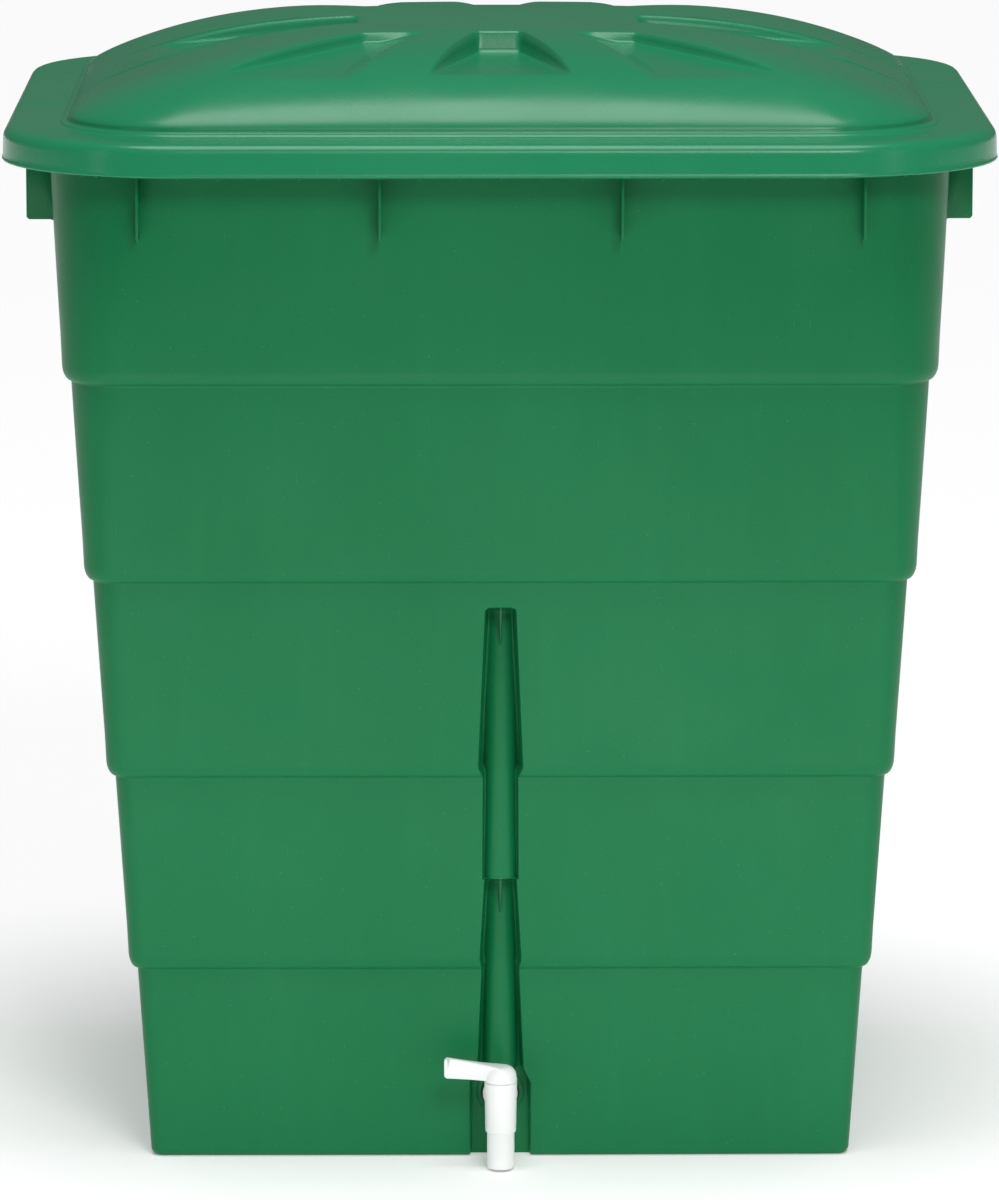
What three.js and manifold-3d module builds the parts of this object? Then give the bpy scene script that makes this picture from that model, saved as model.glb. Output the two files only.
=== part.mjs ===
// Rectangular rain tank with a lift-off domed lid and a plastic lever tap.
// Millimetres, +Z up, +X to the right, the tap side faces -Y, the base stands on Z = 0.

import * as THREE from 'three';
import { mergeVertices } from 'three/addons/utils/BufferGeometryUtils.js';
import Module from 'manifold-3d';

const wasm = await Module();
wasm.setup();

// ---------------------------------------------------------------- driving dimensions

const GAP = 0.4;                    // clearance between pieces that touch
const CORNER_SEGMENTS = 6;          // straight pieces in each rounded corner
const ROUND_SEGMENTS = 24;          // straight pieces round a small turned part

// Tank walls. Depth is always less than width by the same amount.
const NARROWER = 50;                // half width minus half depth
const WALL_TOP = 860;               // height that the wall's taper is counted from
const WALL_TOP_HALF_WIDTH = 370.4;
const WALL_TAPER = 0.063;           // wall moves in per millimetre of height
const WALL = 3.5;
const BASE_THICKNESS = 5;
const BASE_ROUND = 6;
const FIRST_CREASE = 163.7;
const CREASE_PITCH = 166;
const CREASE_COUNT = 4;
const STEP_IN = 6;                  // each crease steps the wall in by this much
const SHOULDER_HEIGHT = 12;

// Lid and rim
const LID_HALF_WIDTH = 409;
const FLANGE_TOP = 866;
const LID_THICKNESS = 3;
const LID_CORNER = 145;
const LID_EDGE_ROUND = 9;
const SKIRT_BOTTOM = 838.6;
const DOME_TOP = 932;
const DOME_FOOT = 873.6;
const DOME_HALF_WIDTH = 354;
const DOME_CORNER = 100;
const DOME_SIDE_FALL = 24.4;        // how much lower the dome is at its sides than along its middle
const DOME_STRAIGHT_SEGMENTS = 8;
const RIM_TOP = FLANGE_TOP - LID_THICKNESS - GAP;
const RIM_THICKNESS = 3;
const RIM_HALF_WIDTH = 393;
const RIM_CORNER = 140;
const RIM_BOTTOM = 835.6;
const FIN_BOTTOM = 785;
const FIN_THICKNESS = 2;
const FIN_PITCH = 196;

// Tap channel in the front wall
const POCKET_TOPS = [475, 242];
const WEB_DROPS = [36, 33];         // how far the web at each pocket's top reaches down
const COLUMN_RADIUS = 14;
const NOTCH_TOP = 76;
const NOTCH_HALF_WIDTH = 25.6;
const SEAT_Y = -231.5;              // flat wall that the tap is bolted to
const SEAT_WALL = 4.5;
const BOSS_RADIUS = 20;
const BOSS_HEIGHT = 1;

// Tap
const TAP_Z = 53;                   // height of the shank
const TAP_Y = -288;                 // upright axis of the barrel
const SPOUT_BOTTOM = 2;
const SPOUT_LENGTH = 31;
const SPOUT_RADIUS = 11.4;
const SPOUT_BORE = 8;
const BARREL_TOP = 75;
const BARREL_TOP_RADIUS = 13.6;
const BARREL_BOTTOM_RADIUS = 12.75;
const PLUG_RADIUS = 9.9;
const PLUG_SEAT = 38;
const PORT_RADIUS = 5.5;
const WATERWAY_RADIUS = 6.5;
const SHANK_RADIUS = 10.4;
const SHANK_END_Y = -207;
const SHOULDER_RADIUS = 14.5;
const SHOULDER_THICKNESS = 4;
const WASHER_RADIUS = 16;
const WASHER_THICKNESS = 3;
const NUT_RADIUS = 17.3;            // across the corners of the hexagon
const NUT_THICKNESS = 10;
const LEVER_REACH = 47;
const LEVER_THICKNESS = 6;
const HEAD_TOP = 91;
const O_RING_HEIGHTS = { upper: 66, lower: 43 };
const O_RING_SECTION = 0.8;

// ---------------------------------------------------------------- solids

// A closed three.js geometry as a solid that can be joined and cut.
function solid(geometry) {
  const bare = geometry.clone();
  bare.deleteAttribute('normal');
  bare.deleteAttribute('uv');
  const merged = mergeVertices(bare, 1e-4);
  return new wasm.Manifold(new wasm.Mesh({
    numProp: 3,
    vertProperties: merged.attributes.position.array,
    triVerts: new Uint32Array(merged.index.array),
  }));
}

function geometryOf(manifold) {
  const mesh = manifold.getMesh();
  const geometry = new THREE.BufferGeometry();
  geometry.setAttribute('position', new THREE.BufferAttribute(mesh.vertProperties, 3));
  geometry.setIndex(new THREE.BufferAttribute(mesh.triVerts, 1));
  return geometry;
}

function box(low, high) {
  const size = high.map((value, axis) => value - low[axis]);
  const middle = high.map((value, axis) => (value + low[axis]) / 2);
  return solid(new THREE.BoxGeometry(...size).translate(...middle));
}

// A turned part standing on the tap's upright axis: profile points are [radius, height].
function turned(profile, segments = ROUND_SEGMENTS) {
  const points = profile.map(([radius, z]) => new THREE.Vector2(radius, z));
  return solid(new THREE.LatheGeometry(points, segments).rotateX(Math.PI / 2));
}

// A disc or tube lying along Y at the height of the shank.
function lying(radius, fromY, toY, segments = ROUND_SEGMENTS) {
  const cylinder = new THREE.CylinderGeometry(radius, radius, Math.abs(toY - fromY), segments);
  return solid(cylinder.translate(0, (fromY + toY) / 2, TAP_Z));
}

// ---------------------------------------------------------------- rounded rectangles

// One rounded corner, counter-clockwise. Quarter 0 is the +X +Y corner.
function cornerArc({ halfWidth, halfDepth, corner }, quarter) {
  const signX = quarter === 0 || quarter === 3 ? 1 : -1;
  const signY = quarter < 2 ? 1 : -1;
  return Array.from({ length: CORNER_SEGMENTS + 1 }, (_, step) => {
    const angle = (quarter + step / CORNER_SEGMENTS) * Math.PI / 2;
    const x = signX * (halfWidth - corner) + corner * Math.cos(angle);
    const y = signY * (halfDepth - corner) + corner * Math.sin(angle);
    return [x, y];
  });
}

// A rounded rectangle, counter-clockwise, with its straight sides cut into equal steps.
function outline(section, straightSteps) {
  return [0, 1, 2, 3].flatMap((quarter) => {
    const arc = cornerArc(section, quarter);
    const [fromX, fromY] = arc[arc.length - 1];
    const [toX, toY] = cornerArc(section, (quarter + 1) % 4)[0];
    for (let step = 1; step < straightSteps; step += 1) {
      const share = step / straightSteps;
      arc.push([fromX + (toX - fromX) * share, fromY + (toY - fromY) * share]);
    }
    return arc;
  });
}

// A closed shape that passes through a list of rounded-rectangle sections, made by turning
// a profile and moving each ring onto its section. The list starts and ends on the axis.
// A section's height is a number, or a function of x where its ring isn't level.
function stack(sections, straightSteps = 1) {
  const outlines = sections.map((section) => outline(section, straightSteps));
  const around = outlines[0].length;
  const profile = sections.map(({ halfWidth }, level) => new THREE.Vector2(halfWidth, level));
  const geometry = new THREE.LatheGeometry(profile, around);
  const position = geometry.attributes.position;
  for (let index = 0; index < position.count; index += 1) {
    const level = index % sections.length;
    const [x, y] = outlines[level][Math.floor(index / sections.length) % around];
    const { z } = sections[level];
    position.setXYZ(index, x, y, typeof z === 'function' ? z(x) : z);
  }
  return solid(geometry);
}

const centre = (z) => ({ halfWidth: 0, halfDepth: 0, corner: 0, z });

// ---------------------------------------------------------------- tank sections

const creaseHeights = Array.from({ length: CREASE_COUNT }, (_, k) => FIRST_CREASE + k * CREASE_PITCH);

function wallHalfWidth(z, creasesAbove) {
  return WALL_TOP_HALF_WIDTH - WALL_TAPER * (WALL_TOP - z) - STEP_IN * creasesAbove;
}

// The corners are tight at the base and open out towards the rim.
function wallCorner(z) {
  return 10 + 0.022 * z + 75 * (z / WALL_TOP) ** 5;
}

function wallSection(z, creasesAbove, outward = 0, up = 0) {
  const halfWidth = wallHalfWidth(z, creasesAbove) + outward;
  const corner = Math.max(wallCorner(z) + outward, 2);
  return { halfWidth, halfDepth: halfWidth - NARROWER, corner, z: z + up };
}

// The wall from bottom to top. Above each crease the wall rolls out over a quarter ellipse.
function wallSections(outward, up, rollSteps) {
  const sections = [];
  creaseHeights.forEach((crease, k) => {
    const above = CREASE_COUNT - 1 - k;
    sections.push(wallSection(crease, above + 1, outward, up));
    for (let step = 1; step <= rollSteps; step += 1) {
      const turn = (step / rollSteps) * Math.PI / 2;
      const z = crease + SHOULDER_HEIGHT * (1 - Math.cos(turn));
      sections.push(wallSection(z, above, outward - STEP_IN * (1 - Math.sin(turn)), up));
    }
  });
  return sections;
}

const rimSection = (inward, z) => ({
  halfWidth: RIM_HALF_WIDTH - inward,
  halfDepth: RIM_HALF_WIDTH - NARROWER - inward,
  corner: RIM_CORNER - inward,
  z,
});

const underFlange = RIM_TOP - RIM_THICKNESS;

function tankOutside() {
  return stack([
    centre(0),
    wallSection(0, CREASE_COUNT, -BASE_ROUND),
    wallSection(BASE_ROUND * 0.3, CREASE_COUNT, -BASE_ROUND * 0.3),
    wallSection(BASE_ROUND, CREASE_COUNT),
    ...wallSections(0, 0, 3),
    wallSection(underFlange, 0),
    rimSection(RIM_THICKNESS, underFlange),
    rimSection(RIM_THICKNESS, RIM_BOTTOM),
    rimSection(0, RIM_BOTTOM),
    rimSection(0, RIM_TOP - 2),
    rimSection(2, RIM_TOP),
    centre(RIM_TOP),
  ]);
}

function tankHollow() {
  return stack([
    centre(BASE_THICKNESS),
    wallSection(BASE_THICKNESS, CREASE_COUNT, -WALL - 3),
    wallSection(BASE_THICKNESS + 3, CREASE_COUNT, -WALL),
    ...wallSections(-WALL, WALL / 2, 2),
    wallSection(RIM_TOP, 0, -WALL, 1),
    centre(RIM_TOP + 1),
  ]);
}

// ---------------------------------------------------------------- tap channel

// A tapered block that opens through the front wall: half widths are given on its back face
// and on its front face, at its top and at its bottom.
function wedgeBlock({ top, bottom, backY, frontY, backWidths, frontWidths }, grow = 0) {
  const geometry = new THREE.BoxGeometry(2, 2, 2);
  const position = geometry.attributes.position;
  for (let index = 0; index < position.count; index += 1) {
    const level = position.getZ(index) > 0 ? 0 : 1;
    const atBack = position.getY(index) > 0;
    const width = (atBack ? backWidths : frontWidths)[level] + grow;
    const y = atBack ? backY + grow : frontY;
    position.setXYZ(index, position.getX(index) * width, y, level === 0 ? top + grow : bottom);
  }
  return solid(geometry);
}

const frontWallY = (z, creasesAbove) => NARROWER - wallHalfWidth(z, creasesAbove);
const columnFronts = [frontWallY(POCKET_TOPS[1] + 8, 3), frontWallY(NOTCH_TOP, 4)];
const outsideY = -330;

const pockets = [
  {
    top: POCKET_TOPS[0],
    bottom: POCKET_TOPS[1] - 1,
    backY: columnFronts[0] + COLUMN_RADIUS,
    frontY: outsideY,
    backWidths: [11, 15],
    frontWidths: [16, 26],
  },
  {
    top: POCKET_TOPS[1],
    bottom: NOTCH_TOP - 10,
    backY: columnFronts[1] + COLUMN_RADIUS,
    frontY: outsideY,
    backWidths: [12, 16],
    frontWidths: [17, 27],
  },
];

const notch = {
  top: NOTCH_TOP,
  bottom: -10,
  backY: SEAT_Y,
  frontY: outsideY,
  backWidths: [NOTCH_HALF_WIDTH - 0.5, NOTCH_HALF_WIDTH],
  frontWidths: [NOTCH_HALF_WIDTH + 3, NOTCH_HALF_WIDTH + 4],
};

// The upright half-round rib in each pocket, and the thin web that ties its top to the wall.
function column(pocket, frontY) {
  const height = pocket.top + 2 - pocket.bottom;
  const cylinder = new THREE.CylinderGeometry(COLUMN_RADIUS, COLUMN_RADIUS + 1.5, height, 20);
  cylinder.rotateX(Math.PI / 2).translate(0, frontY + COLUMN_RADIUS, pocket.bottom + height / 2);
  const behindWall = box([-30, frontY - 5, pocket.bottom], [30, pocket.backY + WALL, pocket.top + 2]);
  return solid(cylinder).intersect(behindWall);
}

function web(pocket, columnFrontY, wallFrontY, height) {
  const shape = new THREE.Shape();
  shape.moveTo(columnFrontY + 3, pocket.top + 1);
  shape.lineTo(wallFrontY, pocket.top + 1);
  shape.lineTo(columnFrontY + 1, pocket.top - height);
  shape.lineTo(columnFrontY + 3, pocket.top - height);
  const plate = new THREE.ExtrudeGeometry(shape, { depth: FIN_THICKNESS, bevelEnabled: false });
  const axes = new THREE.Matrix4().makeBasis(
    new THREE.Vector3(0, 1, 0), new THREE.Vector3(0, 0, 1), new THREE.Vector3(1, 0, 0));
  return solid(plate.applyMatrix4(axes).translate(-FIN_THICKNESS / 2, 0, 0));
}

// ---------------------------------------------------------------- rim fins

// How far the inside of the rim's lip lies from the middle, at a place along a side.
function lipReach(along, halfAcross, halfAlong) {
  const corner = RIM_CORNER - RIM_THICKNESS;
  const past = Math.max(Math.abs(along) - (halfAlong - corner), 0);
  return halfAcross - (corner - Math.sqrt(corner ** 2 - past ** 2));
}

function rimFins() {
  const lipX = RIM_HALF_WIDTH - RIM_THICKNESS;
  const lipY = lipX - NARROWER;
  const wallX = wallHalfWidth(FIN_BOTTOM, 0) - WALL / 2;
  const top = underFlange + 1;
  const half = FIN_THICKNESS / 2;
  const fins = [];
  for (const x of [-1.5, -0.5, 0.5, 1.5].map((n) => n * FIN_PITCH)) {
    const reach = lipReach(x, lipY, lipX) + 0.5;
    const root = Math.abs(x) > FIN_PITCH ? wallX - NARROWER - 12 : wallX - NARROWER;
    fins.push(box([x - half, root, FIN_BOTTOM], [x + half, reach, top]));
    fins.push(box([x - half, -reach, FIN_BOTTOM], [x + half, -root, top]));
  }
  for (const y of [-1, 0, 1].map((n) => n * FIN_PITCH)) {
    const reach = lipReach(y, lipX, lipY) + 0.5;
    fins.push(box([wallX, y - half, FIN_BOTTOM], [reach, y + half, top]));
    fins.push(box([-reach, y - half, FIN_BOTTOM], [-wallX, y + half, top]));
  }
  return fins;
}

// ---------------------------------------------------------------- tank

function tank() {
  const hollow = pockets.concat(notch).reduce(
    (space, pocket) => space.subtract(wedgeBlock(pocket, pocket === notch ? SEAT_WALL : WALL)),
    tankHollow());
  let body = tankOutside();
  for (const fin of rimFins()) {
    body = body.add(fin);
  }
  body = body.subtract(wedgeBlock(pockets[0])).subtract(wedgeBlock(pockets[1]));
  body = body.add(column(pockets[0], columnFronts[0])).add(column(pockets[1], columnFronts[1]));
  body = body.add(web(pockets[0], columnFronts[0], frontWallY(POCKET_TOPS[0], 2), WEB_DROPS[0]));
  body = body.add(web(pockets[1], columnFronts[1], frontWallY(POCKET_TOPS[1], 3), WEB_DROPS[1]));
  body = body.subtract(wedgeBlock(notch));
  body = body.add(lying(BOSS_RADIUS, SEAT_Y - BOSS_HEIGHT, SEAT_Y + 1));
  return body.subtract(hollow).subtract(lying(SHANK_RADIUS + GAP, -260, -200));
}

// ---------------------------------------------------------------- lid

const lidSection = (inward, z) => ({
  halfWidth: LID_HALF_WIDTH - inward,
  halfDepth: LID_HALF_WIDTH - NARROWER - inward,
  corner: LID_CORNER - inward,
  z,
});

// A ring of the dome: size 1 is the foot, size 0 the top. The dome falls towards its sides.
function domeSection(size, lower = 0) {
  const rise = (1 - size ** 4.3) ** 0.8;
  const fall = (x) => DOME_SIDE_FALL * (Math.abs(x) / DOME_HALF_WIDTH) ** 2.6;
  return {
    halfWidth: DOME_HALF_WIDTH * size,
    halfDepth: (DOME_HALF_WIDTH - NARROWER) * size,
    corner: DOME_CORNER * size ** 2.2,
    z: (x) => DOME_FOOT + (DOME_TOP - DOME_FOOT - fall(x)) * rise - lower,
  };
}

const DOME_SIZES = [0.99, 0.96, 0.91, 0.85, 0.78, 0.7, 0.6, 0.45, 0.25];

const footSection = (outward, z) => ({
  halfWidth: DOME_HALF_WIDTH + outward,
  halfDepth: DOME_HALF_WIDTH - NARROWER + outward,
  corner: DOME_CORNER + outward,
  z,
});

// Recesses in the dome. Their floors fall gently outwards until they run out on the dome.
const RECESS_START_X = 117;
const RECESS_START_Y = 109;
const MIDDLE_RECESS = { start: 17, end: 70 };                       // half widths
const SIDE_RECESS = { start: 30, end: 61 };                         // half widths
const CORNER_RECESS = { start: [85, 110], end: [149, 303] };        // inner and outer x
const middleFloor = (x, y) => 914 - 0.027 * (Math.abs(y) - RECESS_START_Y);
const sideFloor = (x) => 922 - 0.1 * (Math.abs(x) - RECESS_START_X);
const cornerFloor = (x, y) => 923 - 0.1 * (Math.abs(y) - RECESS_START_Y) - 0.006 * Math.abs(x);
const CUT_HEIGHT = 60;

function recess(corners, floor, drop) {
  const shape = new THREE.Shape(corners.map(([x, y]) => new THREE.Vector2(x, y)));
  const geometry = new THREE.ExtrudeGeometry(shape, { depth: CUT_HEIGHT, bevelEnabled: false });
  const position = geometry.attributes.position;
  for (let index = 0; index < position.count; index += 1) {
    const z = position.getZ(index) + floor(position.getX(index), position.getY(index)) - drop;
    position.setZ(index, z);
  }
  return solid(geometry);
}

// All eight recesses: front and back, left and right, and one towards each corner.
function recesses(grow = 0, drop = 0) {
  const startX = RECESS_START_X - grow;
  const startY = RECESS_START_Y - grow;
  const endX = DOME_HALF_WIDTH;
  const endY = DOME_HALF_WIDTH - NARROWER;
  const cuts = [];
  for (const side of [-1, 1]) {
    cuts.push(recess([
      [-MIDDLE_RECESS.start - grow, side * startY],
      [MIDDLE_RECESS.start + grow, side * startY],
      [MIDDLE_RECESS.end + grow, side * endY],
      [-MIDDLE_RECESS.end - grow, side * endY],
    ], middleFloor, drop));
    cuts.push(recess([
      [side * startX, -SIDE_RECESS.start - grow],
      [side * startX, SIDE_RECESS.start + grow],
      [side * endX, SIDE_RECESS.end + grow],
      [side * endX, -SIDE_RECESS.end - grow],
    ], sideFloor, drop));
    for (const across of [-1, 1]) {
      cuts.push(recess([
        [side * (CORNER_RECESS.start[0] - grow), across * startY],
        [side * (CORNER_RECESS.start[1] + grow), across * startY],
        [side * (CORNER_RECESS.end[1] + grow), across * endY],
        [side * (CORNER_RECESS.end[0] - grow), across * endY],
      ], cornerFloor, drop));
    }
  }
  return cuts;
}

function lid() {
  const round = LID_EDGE_ROUND;
  const step = 4;
  const outside = recesses().reduce((body, cut) => body.subtract(cut), stack([
    centre(SKIRT_BOTTOM),
    lidSection(0, SKIRT_BOTTOM),
    lidSection(1, FLANGE_TOP - round),
    lidSection(1 + round * 0.13, FLANGE_TOP - round * 0.5),
    lidSection(1 + round * 0.5, FLANGE_TOP - round * 0.13),
    lidSection(1 + round, FLANGE_TOP),
    footSection(step, FLANGE_TOP),
    footSection(step - 1, FLANGE_TOP + 2),
    footSection(0, FLANGE_TOP + 2),
    ...[1].concat(DOME_SIZES).map((size) => domeSection(size)),
    centre(DOME_TOP),
  ], DOME_STRAIGHT_SEGMENTS));
  const inside = recesses(LID_THICKNESS, LID_THICKNESS).reduce((body, cut) => body.subtract(cut), stack([
    centre(SKIRT_BOTTOM - 1),
    lidSection(LID_THICKNESS, SKIRT_BOTTOM - 1),
    lidSection(LID_THICKNESS + 1, FLANGE_TOP - LID_THICKNESS - step),
    lidSection(LID_THICKNESS + step + 1, FLANGE_TOP - LID_THICKNESS),
    footSection(-LID_THICKNESS, FLANGE_TOP - LID_THICKNESS),
    ...DOME_SIZES.slice(1).map((size) => domeSection(size, LID_THICKNESS)),
    centre(DOME_TOP - LID_THICKNESS),
  ], DOME_STRAIGHT_SEGMENTS));
  return outside.subtract(inside);
}

// ---------------------------------------------------------------- tap

function tapBody() {
  const spoutTop = SPOUT_BOTTOM + SPOUT_LENGTH;
  const barrel = turned([
    [0, SPOUT_BOTTOM],
    [SPOUT_RADIUS - 2, SPOUT_BOTTOM],
    [SPOUT_RADIUS - 0.6, SPOUT_BOTTOM + 0.6],
    [SPOUT_RADIUS, SPOUT_BOTTOM + 2],
    [SPOUT_RADIUS, spoutTop],
    [BARREL_BOTTOM_RADIUS - 0.5, spoutTop],
    [BARREL_BOTTOM_RADIUS, spoutTop + 0.5],
    [BARREL_TOP_RADIUS, BARREL_TOP],
    [0, BARREL_TOP],
  ]);
  const bore = turned([
    [0, SPOUT_BOTTOM - 1],
    [SPOUT_BORE, SPOUT_BOTTOM - 1],
    [SPOUT_BORE, PLUG_SEAT],
    [PLUG_RADIUS + GAP, PLUG_SEAT],
    [PLUG_RADIUS + GAP, BARREL_TOP + 1],
    [0, BARREL_TOP + 1],
  ]);
  const shoulderY = SEAT_Y - BOSS_HEIGHT - WASHER_THICKNESS - 2 * GAP;
  const neck = lying(SHANK_RADIUS, SHANK_END_Y, TAP_Y);
  const shoulder = lying(SHOULDER_RADIUS, shoulderY, shoulderY - SHOULDER_THICKNESS);
  const waterway = lying(WATERWAY_RADIUS, SHANK_END_Y + 5, TAP_Y);
  const upright = (shape) => shape.translate([0, TAP_Y, 0]);
  return upright(barrel).add(neck).add(shoulder).subtract(upright(bore)).subtract(waterway);
}

// Cap, lever blade and ported plug in one moulding, around the tap's upright axis.
function tapLever() {
  const underCap = BARREL_TOP + GAP;
  const grooves = [O_RING_HEIGHTS.lower, O_RING_HEIGHTS.upper].flatMap((z) => [
    [PLUG_RADIUS, z - 1.2],
    [8, z - 1.2],
    [8, z + 1.2],
    [PLUG_RADIUS, z + 1.2],
  ]);
  const cap = turned([
    [0, PLUG_SEAT + GAP],
    [PLUG_RADIUS, PLUG_SEAT + GAP],
    ...grooves,
    [PLUG_RADIUS, underCap],
    [BARREL_TOP_RADIUS, underCap],
    [BARREL_TOP_RADIUS, underCap + 3],
    [12.9, HEAD_TOP - 6.5],
    [10.6, HEAD_TOP - 2.4],
    [6.5, HEAD_TOP],
    [0, HEAD_TOP],
  ]);
  const blade = new THREE.Shape();
  blade.moveTo(0, underCap + 1);
  blade.lineTo(3 - LEVER_REACH, underCap + 3);
  blade.quadraticCurveTo(-LEVER_REACH, underCap + 3, -LEVER_REACH, underCap + 6);
  blade.lineTo(-LEVER_REACH, HEAD_TOP + 2.5);
  blade.quadraticCurveTo(-LEVER_REACH, HEAD_TOP + 5.5, 3 - LEVER_REACH, HEAD_TOP + 5);
  blade.lineTo(0, HEAD_TOP - 0.5);
  const plate = new THREE.ExtrudeGeometry(blade, {
    depth: LEVER_THICKNESS, bevelEnabled: false, curveSegments: 4,
  });
  plate.translate(0, 0, -LEVER_THICKNESS / 2).rotateX(Math.PI / 2);
  const waterTop = TAP_Z + PORT_RADIUS;
  const water = turned([
    [0, PLUG_SEAT - 1], [WATERWAY_RADIUS, PLUG_SEAT - 1], [WATERWAY_RADIUS, waterTop], [0, waterTop],
  ]);
  const port = new THREE.CylinderGeometry(PORT_RADIUS, PORT_RADIUS, 20, ROUND_SEGMENTS);
  port.rotateZ(Math.PI / 2).translate(10, 0, TAP_Z);
  return cap.add(solid(plate)).subtract(water).subtract(solid(port));
}

function oRing(z) {
  const radius = PLUG_RADIUS + 0.05 - O_RING_SECTION;
  const ring = new THREE.TorusGeometry(radius, O_RING_SECTION, 8, ROUND_SEGMENTS);
  return solid(ring.translate(0, 0, z));
}

function washer(frontY, thickness, radius, segments = ROUND_SEGMENTS) {
  const disc = lying(radius, frontY, frontY + thickness, segments);
  return disc.subtract(lying(SHANK_RADIUS + GAP, frontY - 1, frontY + thickness + 1));
}

// ---------------------------------------------------------------- assembly

const tankGreen = new THREE.MeshStandardMaterial({ color: 0x2c7a53, roughness: 0.5, metalness: 0 });
const lidGreen = new THREE.MeshStandardMaterial({ color: 0x3d8f63, roughness: 0.3, metalness: 0 });
const tapWhite = new THREE.MeshStandardMaterial({ color: 0xf2f2ee, roughness: 0.35, metalness: 0 });
const sealBlack = new THREE.MeshStandardMaterial({ color: 0x1c1c1c, roughness: 0.8, metalness: 0 });

function piece(name, shape, material) {
  const mesh = new THREE.Mesh(geometryOf(shape), material);
  mesh.name = name;
  return mesh;
}

const innerWallY = SEAT_Y + SEAT_WALL;
const innerWasherY = innerWallY + GAP;
const nutY = innerWasherY + WASHER_THICKNESS + GAP;
const outerWasherY = SEAT_Y - BOSS_HEIGHT - GAP - WASHER_THICKNESS;

const model = new THREE.Group();
model.add(piece('tank', tank(), tankGreen));
model.add(piece('lid', lid(), lidGreen));
model.add(piece('tap_body', tapBody(), tapWhite));
model.add(piece('outer_washer', washer(outerWasherY, WASHER_THICKNESS, WASHER_RADIUS), sealBlack));
model.add(piece('inner_washer', washer(innerWasherY, WASHER_THICKNESS, WASHER_RADIUS), sealBlack));
model.add(piece('lock_nut', washer(nutY, NUT_THICKNESS, NUT_RADIUS, 6), tapWhite));

// The pieces that turn together, around the tap's upright axis. The lever points to -X.
const turning = new THREE.Group();
turning.position.set(0, TAP_Y, 0);
turning.add(piece('tap_lever', tapLever(), tapWhite));
turning.add(piece('plug_o_ring_upper', oRing(O_RING_HEIGHTS.upper), sealBlack));
turning.add(piece('plug_o_ring_lower', oRing(O_RING_HEIGHTS.lower), sealBlack));
model.add(turning);

export default model;
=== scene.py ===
# Rectangular rain tank with a lift-off domed lid and a plastic lever tap.
# Metres, +Z up. The tap side faces -Y, and the tank stands on Z = 0.

import math

import bmesh
import bpy
from mathutils import Matrix, Vector


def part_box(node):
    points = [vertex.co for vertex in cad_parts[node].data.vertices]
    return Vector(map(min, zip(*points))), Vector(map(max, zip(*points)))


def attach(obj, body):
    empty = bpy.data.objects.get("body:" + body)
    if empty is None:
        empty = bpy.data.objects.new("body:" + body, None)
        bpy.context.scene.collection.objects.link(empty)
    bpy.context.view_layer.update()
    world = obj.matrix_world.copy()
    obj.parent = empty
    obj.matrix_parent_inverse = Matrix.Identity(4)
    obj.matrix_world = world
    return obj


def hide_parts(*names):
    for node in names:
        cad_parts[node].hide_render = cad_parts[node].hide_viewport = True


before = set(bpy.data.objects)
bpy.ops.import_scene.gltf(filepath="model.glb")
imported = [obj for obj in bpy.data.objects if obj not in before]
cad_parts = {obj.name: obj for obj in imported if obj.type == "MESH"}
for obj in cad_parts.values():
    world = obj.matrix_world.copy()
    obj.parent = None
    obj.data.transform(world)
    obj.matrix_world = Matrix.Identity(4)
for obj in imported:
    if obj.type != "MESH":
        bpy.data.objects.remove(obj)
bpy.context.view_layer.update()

# ---------------------------------------------------------------- camera
# A long lens straight in front of the tap side, looking a little down on the lid.

camera_data = bpy.data.cameras.new("camera")
camera_data.lens = 221.3
camera_data.clip_end = 60
camera = bpy.data.objects.new("camera", camera_data)
camera.location = (-0.054, -6.242, 1.566)
camera.rotation_euler = (math.radians(79.68), 0, -0.0089)
bpy.context.collection.objects.link(camera)
bpy.context.scene.camera = camera

# ---------------------------------------------------------------- tank
# One injection moulding in green polypropylene: base, stepped walls, turned-down rim and
# the channel that guards the tap. Its thickness is nearly the same all over, so it is made
# as a skin that runs from the base to the lip of the rim and is then given its thickness.

tank_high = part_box("tank")[1]
rim_top = tank_high.z
RIM_THICKNESS = 0.0033
lip_half_x = tank_high.x - RIM_THICKNESS
lip_half_y = tank_high.y - RIM_THICKNESS
LIP_CORNER = 0.137
LIP_BOTTOM = tank_high.z - 0.0267

NARROWER = 0.050
WALL_TOP = 0.860
WALL_TOP_HALF = 0.3704
WALL_TAPER = 0.063
STEP_IN = 0.006
SHOULDER = 0.012
BASE_ROUND = 0.006
BASE_CORNER = 0.010
CORNER_GROWTH = 0.022
CORNER_FLARE = 0.075
CREASES = [0.1637 + 0.166 * number for number in range(4)]
BULGE = 0.0012

# Half width of the channel's mouth, by height. It widens downwards in each storey.
MOUTH = [
    (0.000, 0.0256), (0.064, 0.0256), (0.076, 0.0196), (0.1637, 0.0158), (0.173, 0.0176),
    (0.2419, 0.0136), (0.2421, 0.0152), (0.3297, 0.0148), (0.339, 0.0188), (0.475, 0.0129),
    (0.900, 0.0129),
]
SEAT_Y = -0.2315
SEAT_TOP = 0.076
POCKET_TOPS = (0.475, 0.242)
ROUNDED_TOP = 0.005
COLUMN_RADIUS = 0.0142
SIDE_DRAFT = 0.14
ROOF_DRAFT = 0.25

MOUTH_SHARES = (
    0.0, 0.06, 0.14, 0.24, 0.34, 0.44, 0.54, 0.64, 0.72, 0.79, 0.85, 0.9, 0.94, 0.97, 1.0,
    1.03, 1.12, 1.4,
)
FRONT_STEPS = 8
SIDE_STEPS = 14
CORNER_STEPS = 14


def between(table, value):
    """Reads a height table, straight between its rows."""
    for (low, first), (high, second) in zip(table, table[1:]):
        if value <= high:
            return first + (second - first) * max(value - low, 0) / (high - low)
    return table[-1][1]


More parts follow.
